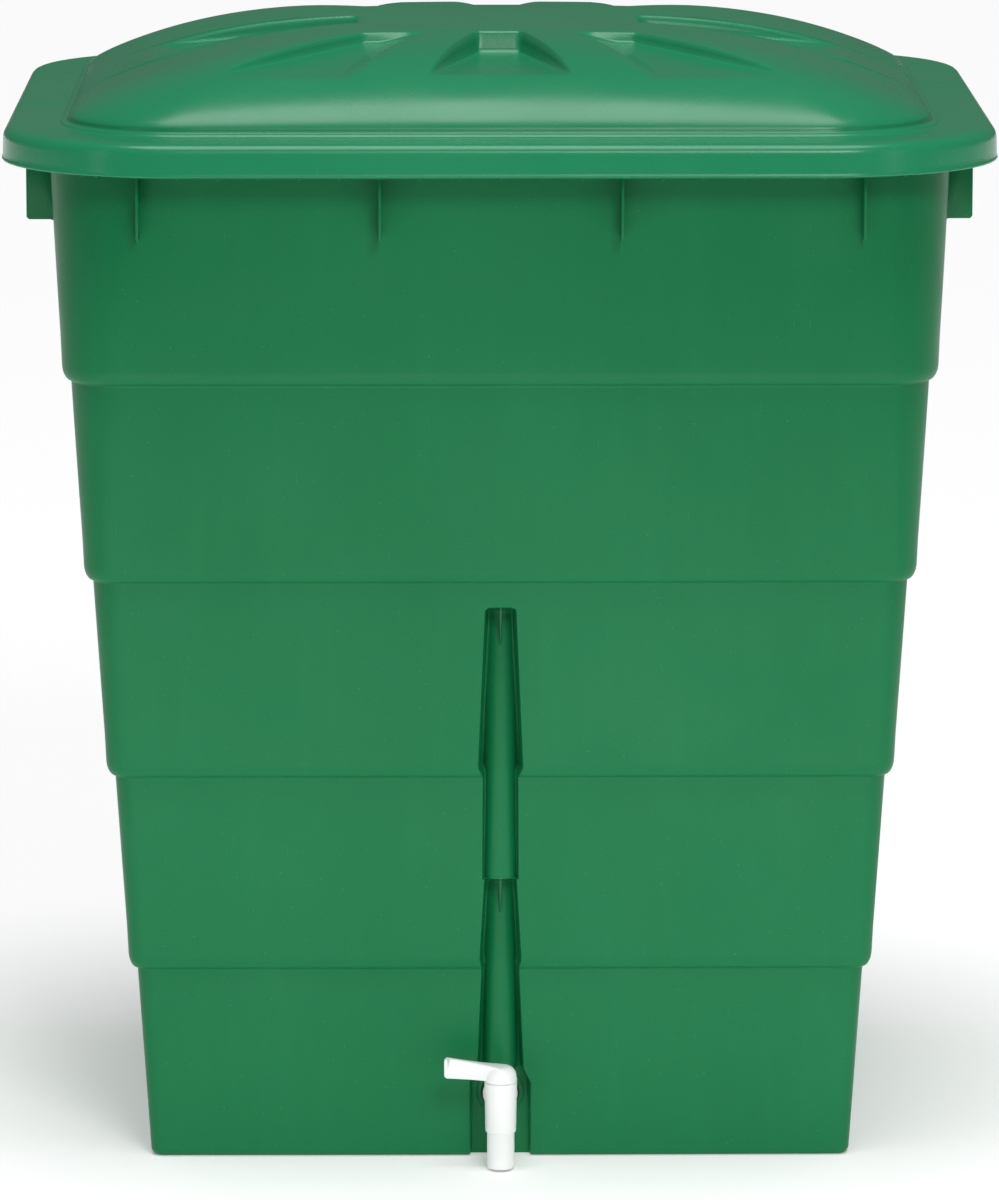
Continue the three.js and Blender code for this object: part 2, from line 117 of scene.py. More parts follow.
def wall_half(z, creases_above):
    """Half width of the tank at a height. Each crease below the rim steps it in."""
    return WALL_TOP_HALF - WALL_TAPER * (WALL_TOP - z) - STEP_IN * creases_above


def wall_corner(z):
    """The corners are tight at the base and open out fast near the rim."""
    return BASE_CORNER + CORNER_GROWTH * z + CORNER_FLARE * (z / WALL_TOP) ** 5


column_fronts = (NARROWER - wall_half(0.250, 3), NARROWER - wall_half(SEAT_TOP, 4))


def pocket_depth(x, z, wall_y, mouth, top, column_front, above_y):
    """Where the surface lies inside one pocket: column, sides or roof, whichever is in front."""
    across = min(abs(x) / COLUMN_RADIUS, 0.999)
    column = column_front + COLUMN_RADIUS * (1 - math.sqrt(1 - across ** 2))
    if abs(x) > COLUMN_RADIUS * 0.985:
        column = column_front + COLUMN_RADIUS + 0.001
    side = wall_y + max(mouth - abs(x), 0) / SIDE_DRAFT
    past = max(abs(x) - (mouth - ROUNDED_TOP), 0)
    roof_z = top - ROUNDED_TOP + math.sqrt(max(ROUNDED_TOP ** 2 - past ** 2, 0))
    roof = above_y + max(roof_z - z, 0) / ROOF_DRAFT
    return max(wall_y, min(column, side, roof))


def channel_y(x, z, wall_y):
    """The front wall's surface, with the tap channel pressed into it."""
    mouth = between(MOUTH, z)
    if abs(x) >= mouth or z >= POCKET_TOPS[0]:
        return wall_y
    upper = pocket_depth(x, z, wall_y, mouth, POCKET_TOPS[0], column_fronts[0], wall_y)
    if z > POCKET_TOPS[1]:
        return upper
    lower = pocket_depth(x, z, wall_y, mouth, POCKET_TOPS[1], column_fronts[1], upper)
    if z > SEAT_TOP:
        return lower
    side = wall_y + max(mouth - abs(x), 0) / SIDE_DRAFT
    roof = lower + (SEAT_TOP - z) / ROOF_DRAFT
    return max(wall_y, min(SEAT_Y, side, roof))


def front_places(half_straight, mouth):
    """Places along the front wall, close together across the channel."""
    near = [mouth * share for share in MOUTH_SHARES]
    spread = (half_straight - near[-1]) / FRONT_STEPS
    right = near + [near[-1] + spread * step for step in range(1, FRONT_STEPS + 1)]
    return [-x for x in reversed(right[1:])] + right


def tank_ring(half_x, half_y, corner, z, bulge=0.0):
    """One level of the tank: a rounded rectangle, counter-clockwise from the front left."""
    inner_x, inner_y = half_x - corner, half_y - corner
    flat_x, flat_y = max(inner_x, 1e-4), max(inner_y, 1e-4)
    places = []
    for x in front_places(inner_x, between(MOUTH, z)):
        wall_y = -half_y - bulge * (1 - (x / flat_x) ** 2)
        places.append((x, channel_y(x, z, wall_y) if bulge else wall_y, z))
    for quarter, (sign_x, sign_y) in enumerate(((1, -1), (1, 1), (-1, 1), (-1, -1))):
        for step in range(0 if quarter else 1, CORNER_STEPS + 1):
            turn = math.radians(90 * (quarter - 1 + step / CORNER_STEPS))
            x = sign_x * inner_x + corner * math.cos(turn)
            places.append((x, sign_y * inner_y + corner * math.sin(turn), z))
        for step in range(1, SIDE_STEPS):
            along = 2 * step / SIDE_STEPS - 1
            out = bulge * (1 - along ** 2)
            if quarter == 0:
                places.append((half_x + out, flat_y * along, z))
            elif quarter == 1:
                places.append((-flat_x * along, half_y + out, z))
            elif quarter == 2:
                places.append((-half_x - out, -flat_y * along, z))
    return places[:-1]


def wall_ring(z, creases_above, outward=0.0, bulge=BULGE):
    """One level of the stepped wall."""
    half = wall_half(z, creases_above) + outward
    return tank_ring(half, half - NARROWER, max(wall_corner(z) + outward, 0.003), z, bulge)


def storey_heights(bottom, top, count, specials):
    """Even heights in one storey, with the closer ones that a pocket's top needs."""
    plain = [bottom + (top - bottom) * step / count for step in range(1, count + 1)]
    close = [z for z in specials if bottom < z < top]
    plain = [z for z in plain if all(abs(z - other) > 0.004 for other in close)]
    return sorted(plain + close + ([top] if top not in plain else []))


def grow_skin(bm, lines, closed=True):
    """Draws a skin out from one line of points to the next. The lines are rings, or are open."""
    bmesh.ops.create_circle(bm, segments=len(lines[0]), radius=1)
    bm.verts.ensure_lookup_table()
    line = list(bm.verts)
    if not closed:
        bm.edges.remove(bm.edges.get((line[-1], line[0])))
    for vert, place in zip(line, lines[0]):
        vert.co = place
    for places in lines[1:]:
        pairs = zip(line, line[1:] + line[:1] if closed else line[1:])
        made = bmesh.ops.extrude_edge_only(bm, edges=[bm.edges.get(pair) for pair in pairs])["geom"]
        fresh = {item for item in made if isinstance(item, bmesh.types.BMVert)}
        line = [
            next(edge.other_vert(vert) for edge in vert.link_edges if edge.other_vert(vert) in fresh)
            for vert in line
        ]
        for vert, place in zip(line, places):
            vert.co = place


def as_object(bm, name, smooth=True):
    """A finished mesh as an object at the origin."""
    for face in bm.faces:
        face.smooth = smooth
    mesh = bpy.data.meshes.new(name)
    bm.to_mesh(mesh)
    bm.free()
    made = bpy.data.objects.new(name, mesh)
    bpy.context.collection.objects.link(made)
    return made


def applied(obj):
    """Replaces an object's mesh with the result of its modifiers."""
    depsgraph = bpy.context.evaluated_depsgraph_get()
    mesh = bpy.data.meshes.new_from_object(obj.evaluated_get(depsgraph))
    obj.modifiers.clear()
    obj.data = mesh
    return obj


def thickened(obj, thickness):
    """Gives a skin its thickness on the side away from its normals."""
    wall = obj.modifiers.new("wall", "SOLIDIFY")
    wall.thickness = thickness
    wall.offset = -1
    wall.use_quality_normals = True
    return applied(obj)


pocket_steps = (-0.004, 0.0, 0.0004, 0.0012, 0.0024, 0.0038, 0.0052, 0.0075, 0.011, 0.016)
close_heights = [top - step for top in POCKET_TOPS + (SEAT_TOP,) for step in pocket_steps]
close_heights += [0.2421, 0.0757, 0.064]

tank_rings = []
for step in range(7):
    turn = math.pi / 2 * step / 6
    inset = BASE_ROUND * (1 - math.sin(turn))
    tank_rings.append(wall_ring(BASE_ROUND * (1 - math.cos(turn)), 4, -inset))
tank_rings += [
    wall_ring(z, 4) for z in storey_heights(BASE_ROUND, CREASES[0] - 0.002, 7, close_heights)
]
for number, crease in enumerate(CREASES):
    above = 3 - number
    tank_rings.append(wall_ring(crease, above + 1))
    for step in range(1, 9):
        turn = math.pi / 2 * step / 8
        z = crease + 0.0004 + SHOULDER * (1 - math.cos(turn))
        tank_rings.append(wall_ring(z, above, -STEP_IN * (1 - math.sin(turn)) + 0.0004))
    storey_top = CREASES[number + 1] - 0.002 if above else rim_top - 0.014
    tank_rings += [
        wall_ring(z, above)
        for z in storey_heights(crease + SHOULDER + 0.002, storey_top, 7, close_heights)
    ]

flange_under = rim_top - RIM_THICKNESS
root_half = wall_half(flange_under, 0)
for step in range(1, 5):
    turn = math.pi / 2 * step / 4
    out = 0.006 * (1 - math.cos(turn))
    z = flange_under - 0.006 * (1 - math.sin(turn))
    tank_rings.append(wall_ring(z, 0, out, 0.0006))
ledge_corner = wall_corner(flange_under)
for share in (0.35, 0.6, 0.8):
    half_x = root_half + (lip_half_x - root_half) * share
    corner = ledge_corner + (LIP_CORNER - ledge_corner) * share
    tank_rings.append(tank_ring(half_x, half_x - NARROWER, corner, flange_under))
for step in range(1, 5):
    turn = math.pi / 2 * step / 4
    half_x = lip_half_x - 0.003 * (1 - math.sin(turn))
    z = flange_under - 0.003 * (1 - math.cos(turn))
    tank_rings.append(tank_ring(half_x, half_x - NARROWER, LIP_CORNER, z))
for z in (flange_under - 0.012, LIP_BOTTOM + 0.003, LIP_BOTTOM):
    tank_rings.append(tank_ring(lip_half_x, lip_half_y, LIP_CORNER, z))

tank_mesh = bmesh.new()
grow_skin(tank_mesh, tank_rings)
tank_mesh.edges.ensure_lookup_table()
base_edges = [edge for edge in tank_mesh.edges if edge.is_boundary and edge.verts[0].co.z < 0.001]
bmesh.ops.edgeloop_fill(tank_mesh, edges=base_edges)
bmesh.ops.recalc_face_normals(tank_mesh, faces=tank_mesh.faces)
if min(tank_mesh.faces, key=lambda face: face.calc_center_median().z).normal.z > 0:
    bmesh.ops.reverse_faces(tank_mesh, faces=tank_mesh.faces)
tank_shell = thickened(as_object(tank_mesh, "tank_shell"), RIM_THICKNESS)

BOSS_RADIUS = 0.020
BOSS_HEIGHT = 0.001
SHANK_Z = 0.053
SHANK_HOLE = 0.0108
FIN_BOTTOM = 0.785
FIN_ROOT_Z = 0.82
FIN_THICKNESS = 0.0022
FIN_PITCH = 0.196
RIBS_PER_FIN = 6
RIB_BOTTOM = LIP_BOTTOM - 0.0018
RIB_THICKNESS = 0.0016


def cutter(name, radius, start, end):
    """A round tool lying along Y at the height of the shank."""
    bm = bmesh.new()
    turn = Matrix.Translation((0, (start + end) / 2, SHANK_Z)) @ Matrix.Rotation(math.pi / 2, 4, "X")
    bmesh.ops.create_cone(
        bm, cap_ends=True, segments=64, radius1=radius, radius2=radius, depth=end - start, matrix=turn)
    return as_object(bm, name)


def joined(obj, tool, operation):
    """Cuts or joins an object with another, and removes the tool."""
    step = obj.modifiers.new("join", "BOOLEAN")
    step.operation = operation
    step.solver = "EXACT"
    step.object = tool
    applied(obj)
    bpy.data.objects.remove(tool)
    bm = bmesh.new()
    bm.from_mesh(obj.data)
    bmesh.ops.remove_doubles(bm, verts=bm.verts, dist=2e-6)
    bmesh.ops.dissolve_degenerate(bm, edges=bm.edges, dist=2e-6)
    bm.to_mesh(obj.data)
    bm.free()
    return obj


def plate(bm, corners, thickness, matrix, rounding=0.0003):
    """A thin moulded rib: an outline given in its own plane, thickened and eased at its edges."""
    verts = [bm.verts.new((x, -thickness / 2, z)) for x, z in corners]
    face = bm.faces.new(verts)
    made = bmesh.ops.extrude_face_region(bm, geom=[face])["geom"]
    moved = [item for item in made if isinstance(item, bmesh.types.BMVert)]
    bmesh.ops.translate(bm, vec=(0, thickness, 0), verts=moved)
    faces = {linked for vert in verts + moved for linked in vert.link_faces}
    bmesh.ops.recalc_face_normals(bm, faces=list(faces))
    edges = list({edge for made_face in faces for edge in made_face.edges})
    bmesh.ops.transform(bm, matrix=matrix, verts=verts + moved)
    bmesh.ops.bevel(
        bm, geom=edges, offset=rounding, segments=1, affect="EDGES", profile=0.5, material=-1)


def lip_reach(along, half_across, half_along):
    """How far the inside of the lip lies from the middle, at a place along a side."""
    past = max(abs(along) - (half_along - LIP_CORNER), 0)
    return half_across - (LIP_CORNER - math.sqrt(LIP_CORNER ** 2 - past ** 2))


def side_matrix(side, along):
    """Puts a plate drawn in XZ, pointing outwards along +X, on one of the four sides."""
    turn = Matrix.Rotation(math.radians(90 * side), 4, "Z")
    return turn @ Matrix.Translation((0, along, 0))


def wall_at(along, half_across, half_along, z):
    """The outside of the wall at a place along a side, round the corner if it is that far out."""
    corner = wall_corner(z)
    past = min(max(abs(along) - (half_along - corner), 0), corner)
    return half_across - (corner - math.sqrt(corner ** 2 - past ** 2))


def rim_ribs(bm):
    """The upright fins under the rim on all four sides, and the short ribs between them."""
    top = flange_under + 0.001
    for side in range(4):
        on_x = side % 2 == 0
        lip_out, lip_along = (lip_half_x, lip_half_y) if on_x else (lip_half_y, lip_half_x)
        fins = (-1, 0, 1) if on_x else (-1.5, -0.5, 0.5, 1.5)
        ribs = range(-9, 10) if on_x else range(-10, 11)
        narrow = 0 if on_x else NARROWER
        wide = NARROWER - narrow
        for number in fins:
            along = number * FIN_PITCH
            reach = lip_reach(along, lip_out, lip_along) + 0.0006
            half = wall_half(FIN_ROOT_Z, 0)
            root = wall_at(along, half - narrow, half - wide, FIN_ROOT_Z) - 0.0025
            low = wall_at(along, wall_half(FIN_BOTTOM, 0) - narrow, half - wide, FIN_BOTTOM)
            corners = [(root, top), (low - 0.002, FIN_BOTTOM - 0.005)]
            corners += [(low + 0.0008, FIN_BOTTOM - 0.004), (low + 0.0022, FIN_BOTTOM - 0.001)]
            corners += [(low + 0.005, FIN_BOTTOM)]
            corners += [(reach - 0.002, FIN_BOTTOM), (reach, FIN_BOTTOM + 0.002), (reach, top)]
            plate(bm, corners, FIN_THICKNESS, side_matrix(side, along))
        for number in ribs:
            along = number * FIN_PITCH / RIBS_PER_FIN
            if any(abs(along - fin * FIN_PITCH) < 0.002 for fin in fins):
                continue
            reach = lip_reach(along, lip_out, lip_along) + 0.0006
            half = wall_half(RIB_BOTTOM, 0)
            root = wall_at(along, half - narrow, half - wide, RIB_BOTTOM) - 0.0015
            corners = [(root, top), (root, RIB_BOTTOM - 0.004), (root + 0.004, RIB_BOTTOM)]
            corners += [(reach, RIB_BOTTOM), (reach, top)]
            plate(bm, corners, RIB_THICKNESS, side_matrix(side, along))


def channel_webs(bm):
    """The thin web at the top of each pocket, from the wall down to the column."""
    for top, column_y, above, drop in (
        (POCKET_TOPS[0], column_fronts[0], 2, 0.036),
        (POCKET_TOPS[1], column_fronts[1], 3, 0.033),
    ):
        wall_y = NARROWER - wall_half(top, above)
        corners = [(-column_y - 0.003, top + 0.001), (-wall_y, top + 0.0012)]
        corners += [(-column_y - 0.0005, top - drop), (-column_y - 0.003, top - drop)]
        plate(bm, corners, 0.002, side_matrix(3, 0), 0.0004)


joined(tank_shell, cutter("hole_tool", SHANK_HOLE, -0.26, -0.20), "DIFFERENCE")
details = bmesh.new()
details.from_mesh(tank_shell.data)
rim_ribs(details)
channel_webs(details)
boss_profile = [
    (SHANK_HOLE, 0.0), (SHANK_HOLE, 0.002), (BOSS_RADIUS - 0.0006, 0.002),
    (BOSS_RADIUS, 0.0014), (BOSS_RADIUS, 0.0004), (BOSS_RADIUS + 0.0012, 0.0),
]
boss_verts = [
    details.verts.new((radius, SEAT_Y + BOSS_HEIGHT - depth, SHANK_Z)) for radius, depth in boss_profile
]
boss_edges = [details.edges.new(pair) for pair in zip(boss_verts, boss_verts[1:] + boss_verts[:1])]
bmesh.ops.spin(
    details, geom=boss_verts + boss_edges, cent=(0, 0, SHANK_Z), axis=(0, 1, 0),
    angle=math.tau, steps=64, use_merge=True)
bmesh.ops.remove_doubles(details, verts=details.verts, dist=1e-7)
tank = as_object(details, "rain_tank")
bpy.data.objects.remove(tank_shell)

# Its finish is satin, straight from the mould: faint flow clouds, a fine pebbled skin, a little
# dust and a few hair scratches from handling.


def plastic(
        name, colour, shade, roughness, spread, grain, grain_depth, specks=0.0, streaks=0.0,
        shine=0.5):
    """A moulded plastic: two close colours in soft clouds, uneven gloss, fine skin and dust."""
    material = bpy.data.materials.new(name)
    material.use_nodes = True
    nodes, links = material.node_tree.nodes, material.node_tree.links
    shader = nodes["Principled BSDF"]
    shader.inputs["IOR"].default_value = 1.49
    shader.inputs["Specular IOR Level"].default_value = shine
    place = nodes.new("ShaderNodeTexCoord").outputs["Object"]

    def noise(scale, detail=3.0, stretch=(1, 1, 1), rough=0.5):
        mapping = nodes.new("ShaderNodeMapping")
        mapping.inputs["Scale"].default_value = stretch
        links.new(place, mapping.inputs["Vector"])
        texture = nodes.new("ShaderNodeTexNoise")
        texture.inputs["Scale"].default_value = scale
        texture.inputs["Detail"].default_value = detail
        texture.inputs["Roughness"].default_value = rough
        links.new(mapping.outputs["Vector"], texture.inputs["Vector"])
        return texture.outputs["Fac"]

    def ranged(value, low, high, to_low, to_high):
        node = nodes.new("ShaderNodeMapRange")
        node.inputs["From Min"].default_value = low
        node.inputs["From Max"].default_value = high
        node.inputs["To Min"].default_value = to_low
        node.inputs["To Max"].default_value = to_high
        links.new(value, node.inputs["Value"])
        return node.outputs["Result"]

    def mixed(factor, first, second):
        node = nodes.new("ShaderNodeMix")
        node.data_type = "RGBA"
        links.new(factor, node.inputs[0])
        for socket, value in ((node.inputs[6], first), (node.inputs[7], second)):
            if isinstance(value, tuple):
                socket.default_value = value
            else:
                links.new(value, socket)
        return node.outputs[2]

    def bump(height, strength, distance, normal=None):
        node = nodes.new("ShaderNodeBump")
        node.inputs["Strength"].default_value = strength
        node.inputs["Distance"].default_value = distance
        links.new(height, node.inputs["Height"])
        if normal:
            links.new(normal, node.inputs["Normal"])
        return node.outputs["Normal"]

    clouds = ranged(noise(4.0, 4.0, (1, 1, 0.6)), 0.35, 0.68, 0.0, 1.0)
    tint = mixed(clouds, colour, shade)
    if streaks:
        flow = ranged(noise(9.0, 5.0, (6, 6, 0.5), 0.6), 0.5, 0.8, 0.0, streaks)
        tint = mixed(flow, tint, tuple(min(1.0, part * 1.35 + 0.01) for part in shade[:3]) + (1.0,))
    if specks:
        dust = ranged(noise(520.0, 1.0), 0.745, 0.8, 0.0, specks)
        scratch = ranged(noise(38.0, 2.0, (14, 14, 0.35), 0.7), 0.735, 0.76, 0.0, specks * 0.5)
        pale = tuple(min(1.0, part * 1.6 + 0.06) for part in colour[:3]) + (1.0,)
        tint = mixed(dust, tint, pale)
        tint = mixed(scratch, tint, pale)
    links.new(tint, shader.inputs["Base Color"])
    gloss = ranged(noise(11.0, 5.0), 0.3, 0.7, roughness - spread, roughness + spread)
    links.new(gloss, shader.inputs["Roughness"])
    skin = bump(noise(grain, 2.0), 0.35, grain_depth)
    links.new(bump(noise(7.0, 2.0), 0.25, 0.0022, skin), shader.inputs["Normal"])
    return material


def finish_piece(obj, material, body, slot, *nodes):
    """Gives a piece its material, hangs it on the empty of the body it rides on and hides the parts it
    stands for.
    """
    obj.data.materials.clear()
    obj.data.materials.append(material)
    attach(obj, body)
    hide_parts(*nodes)


TANK_GREEN = (0.003, 0.168, 0.055, 1.0)
TANK_SHADE = (0.006, 0.183, 0.063, 1.0)
tank_finish = plastic(
    "tank_polypropylene", TANK_GREEN, TANK_SHADE, roughness=0.40, spread=0.07, grain=900.0,
    grain_depth=0.0002, specks=0.5, streaks=0.10, shine=0.22)
finish_piece(tank, tank_finish, "tank", "tank_green", "tank")

# ---------------------------------------------------------------- lid
# One thin moulding of the same green plastic with a glossier skin; its colour is painted lighter
# than the tank's, painted light for the lid on top. A flat flange with a rounded edge and skirt
# caps the rim. The dome carries a star of eight shallow recesses between ridges.

lid_low, lid_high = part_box("lid")
LID_THICKNESS = 0.003
LID_CORNER = 0.145
EDGE_ROUND = 0.009
FLANGE_TOP = 0.866
DOME_FOOT = 0.8736
DOME_HALF_X = 0.354
DOME_HALF_Y = 0.304
DOME_CORNER = 0.100
DOME_SIDE_FALL = 0.0244
SIDE_FALL_POWER = 2.6
DOME_CORNER_POWER = 2.2
CROWN_POWER = 4.3
CROWN_EASE = 0.8

# The recesses start at the edge of the flat middle. Each floor has its height there and a fall
# outwards, and the corner ones also tilt a little sideways.
START_X = 0.117
START_Y = 0.109
MIDDLE_FLOOR_Z = 0.914
MIDDLE_FALL = 0.027
CORNER_FLOOR_Z = 0.923
CORNER_FALL = 0.1
CORNER_TILT = 0.006
SIDE_FLOOR_Z = 0.921
SIDE_FALL = 0.115


def dome_ring_size(size):
    """Half width, half depth and corner of one of the dome's level lines, as a share of its foot."""
    return DOME_HALF_X * size, DOME_HALF_Y * size, DOME_CORNER * size ** DOME_CORNER_POWER


def dome_height(size, x):
    """The dome rises fast from its foot, then flattens, and is lower towards its sides."""
    fall = DOME_SIDE_FALL * (abs(x) / DOME_HALF_X) ** SIDE_FALL_POWER
    rise = (1 - min(size, 1.0) ** CROWN_POWER) ** CROWN_EASE
    return DOME_FOOT + (lid_high.z - DOME_FOOT - fall) * rise


def on_quarter(half_x, half_y, corner, place):
    """A point of the front right quarter: 0 to 1 along the front, to 2 round, to 3 along the side."""
    flat_x, flat_y = half_x - corner, half_y - corner
    if place <= 1:
        return Vector((flat_x * place, -half_y))
    if place <= 2:
        turn = math.pi / 2 * (place - 1)
        return Vector((flat_x + corner * math.sin(turn), -flat_y - corner * math.cos(turn)))
    return Vector((half_x, -flat_y * (3 - place)))


def ring_through(x, y):
    """The size of the dome's level line through a point."""
    low, high = 0.0, 1.2
    for _ in range(30):
        middle = (low + high) / 2
        half_x, half_y, corner = dome_ring_size(middle)
        over_x = max(abs(x) - (half_x - corner), 0)
        over_y = max(abs(y) - (half_y - corner), 0)
        inside = math.hypot(over_x, over_y) <= corner
        low, high = (low, middle) if inside else (middle, high)
    return high


def middle_floor(x, y):
    return MIDDLE_FLOOR_Z - MIDDLE_FALL * (abs(y) - START_Y)


def corner_floor(x, y):
    return CORNER_FLOOR_Z - CORNER_FALL * (abs(y) - START_Y) - CORNER_TILT * abs(x)


def side_floor(x, y):
    return SIDE_FLOOR_Z - SIDE_FALL * (abs(x) - START_X)


# Lines that run out over the dome from the flat middle. Each has its place round the dome,
# its start on the edge of the flat middle, how much of the recess it takes, and its floor.
KEY_LINES = [
    (0.000, (0.000, -0.109), 1, middle_floor),
    (0.243, (0.0150, -0.109), 1, middle_floor),
    (0.250, (0.0160, -0.109), 0.93, middle_floor),
    (0.262, (0.0190, -0.109), 0.04, middle_floor),
    (0.269, (0.0200, -0.109), 0, middle_floor),
    (0.500, (0.0560, -0.109), 0, corner_floor),
    (0.524, (0.0600, -0.109), 0.05, corner_floor),
    (0.580, (0.0940, -0.109), 0.96, corner_floor),
    (0.600, (0.0980, -0.109), 1, corner_floor),
    (1.105, (0.1080, -0.1095), 1, corner_floor),
    (1.120, (0.1090, -0.1095), 0.93, corner_floor),
    (1.150, (0.1120, -0.1085), 0.04, corner_floor),
    (1.165, (0.1130, -0.1080), 0, corner_floor),
    (2.690, (0.117, -0.0310), 0, side_floor),
    (2.702, (0.117, -0.0300), 0.04, side_floor),
    (2.722, (0.117, -0.0275), 0.93, side_floor),
    (2.734, (0.117, -0.0265), 1, side_floor),
    (3.000, (0.117, 0.0000), 1, side_floor),
]
LINE_STEPS = (7, 1, 2, 1, 7, 1, 6, 1, 8, 1, 2, 1, 20, 1, 2, 1, 6)

dome_lines = []
for (first, start, take, floor), (last, end, last_take, _), steps in zip(
        KEY_LINES, KEY_LINES[1:], LINE_STEPS):
    for step in range(steps):
        share = step / steps
        along = Vector(start).lerp(Vector(end), share)
        if take == last_take == 0 and first > 1 and last > 2:
            bend = math.sin(math.pi * share)
            along += Vector((0.004 * bend, -0.018 * bend * (1 - share)))
        dome_lines.append(
            (first + (last - first) * share, along, take + (last_take - take) * share, floor))
dome_lines.append((KEY_LINES[-1][0], Vector(KEY_LINES[-1][1]), *KEY_LINES[-1][2:]))


def run_out(place, floor):
    """The size of the level line where a recess floor comes out on the dome."""
    low, high = 0.5, 0.98
    for _ in range(30):
        middle = (low + high) / 2
        point = on_quarter(*dome_ring_size(middle), place)
        low, high = (middle, high) if dome_height(middle, point.x) > floor(*point) else (low, middle)
    return low


FLAT_SHARES = (0.02, 0.12, 0.25, 0.4, 0.55, 0.7, 0.82, 0.92, 0.975)
RECESS_SHARES = (
    0.0, 0.012, 0.028, 0.04, 0.07, 0.13, 0.22, 0.33, 0.45, 0.57, 0.69, 0.8, 0.89, 0.95, 0.985, 1.0,
)
WALL_START, WALL_END = 0.008, 0.034


def lid_line(place, start, take, floor):
    """All the points of one line, from the middle of the lid out to the bottom of the skirt."""
    points = []
    for share in FLAT_SHARES:
        spot = start * share
        points.append(Vector((*spot, dome_height(ring_through(*spot), spot.x))))
    out_size = run_out(place, floor)
    end = on_quarter(*dome_ring_size(out_size), place)
    for share in RECESS_SHARES:
        spot = start.lerp(end, share)
        dome = dome_height(ring_through(*spot), spot.x)
        wall = min(max((share - WALL_START) / (WALL_END - WALL_START), 0), 1)
        sunk = min(dome, floor(*spot))
        points.append(Vector((*spot, dome + (sunk - dome) * take * wall)))
    for step in range(1, 19):
        share = (step / 18) ** 0.8
        size = out_size + (1 - out_size) * share
        spot = on_quarter(*dome_ring_size(size), place)
        points.append(Vector((*spot, dome_height(size, spot.x))))
    for out, z in FOOT_PROFILE:
        corner = DOME_CORNER + out
        points.append(Vector((
            *on_quarter(DOME_HALF_X + out, DOME_HALF_Y + out, corner, place), FLANGE_TOP + z)))
    for inward, z in EDGE_PROFILE:
        half_x, half_y, corner = lid_high.x - inward, lid_high.y - inward, LID_CORNER - inward
        points.append(Vector((*on_quarter(half_x, half_y, corner, place), FLANGE_TOP + z)))
    return points


# From the foot of the dome down a small riser and a low step to the flange.
FOOT_PROFILE = [
    (0.0006, 0.0064), (0.0009, 0.0046), (0.0012, 0.0034), (0.0020, 0.0026), (0.0032, 0.0023),
    (0.0048, 0.0022), (0.0058, 0.0019), (0.0064, 0.0012), (0.0070, 0.0004), (0.0082, 0.0),
    (0.0100, 0.0),
]
EDGE_PROFILE = [(0.035, 0.0), (0.018, -0.0001), (0.0135, -0.0002)]
for edge_step in range(0, 9):
    edge_turn = math.pi / 2 * edge_step / 8
    EDGE_PROFILE.append((
        0.0012 + EDGE_ROUND * (1 - math.sin(edge_turn)),
        -0.0004 - EDGE_ROUND * (1 - math.cos(edge_turn)),
    ))
skirt = lid_low.z - FLANGE_TOP
EDGE_PROFILE += [
    (0.0010, skirt + 0.0130), (0.0008, skirt + 0.0070), (0.0007, skirt + 0.0032),
    (0.0005, skirt + 0.0025), (0.0, skirt + 0.0019), (0.0, skirt + 0.0008), (0.0005, skirt + 0.0002),
]

# One quarter of the lid is drawn from line to line, and all lines start at the middle.
lid_mesh = bmesh.new()
lid_middle = Vector((0, 0, lid_high.z))
grow_skin(lid_mesh, [[lid_middle] + lid_line(*line) for line in dome_lines], closed=False)
bmesh.ops.remove_doubles(lid_mesh, verts=lid_mesh.verts, dist=1e-6)
for axis in ("X", "Y"):
    everything = lid_mesh.verts[:] + lid_mesh.edges[:] + lid_mesh.faces[:]
    bmesh.ops.mirror(lid_mesh, geom=everything, matrix=Matrix(), merge_dist=1e-6, axis=axis)
bmesh.ops.remove_doubles(lid_mesh, verts=lid_mesh.verts, dist=1e-6)
bmesh.ops.recalc_face_normals(lid_mesh, faces=lid_mesh.faces)
if max(lid_mesh.faces, key=lambda face: face.calc_center_median().z).normal.z < 0:
    bmesh.ops.reverse_faces(lid_mesh, faces=lid_mesh.faces)
lid = thickened(as_object(lid_mesh, "tank_lid"), LID_THICKNESS)

# The lid's two greens are the tank's green painted lighter: painted light for the light falling on the
# lid on top.
LID_GREEN_PAINTED_LIGHTER = (0.014, 0.238, 0.104, 1.0)
LID_SHADE_PAINTED_LIGHTER = (0.019, 0.256, 0.115, 1.0)
lid_painted_lighter_finish = plastic(
    "lid_polypropylene_painted_lighter", LID_GREEN_PAINTED_LIGHTER, LID_SHADE_PAINTED_LIGHTER, roughness=0.26, spread=0.05, grain=700.0,
    grain_depth=0.00015, specks=0.4, streaks=0.06, shine=0.32)
finish_piece(lid, lid_painted_lighter_finish, "lid", "lid_green", "lid")

# ---------------------------------------------------------------- tap body
# White plastic drum tap, one moulding: an upright barrel that ends in a narrower spout, and a
# threaded shank with a shoulder that goes through the tank wall.

tap_low, tap_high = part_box("tap_body")
TAP_Y = -0.288
SPOUT_RADIUS = 0.0114
SPOUT_BORE = 0.008
SPOUT_TOP = 0.033
BARREL_FOOT_RADIUS = 0.01275
BARREL_TOP_RADIUS = 0.0136
PLUG_RADIUS = 0.0099
PLUG_SEAT = 0.038
PORT_RADIUS = 0.0055
WATERWAY_RADIUS = 0.0065
SHANK_RADIUS = 0.0104
SHOULDER_RADIUS = 0.0145
SHOULDER_FRONT = -0.2403
SHOULDER_BACK = -0.2363
GAP = 0.0004
THREAD_PITCH = 0.0018
THREAD_DEPTH = 0.0008


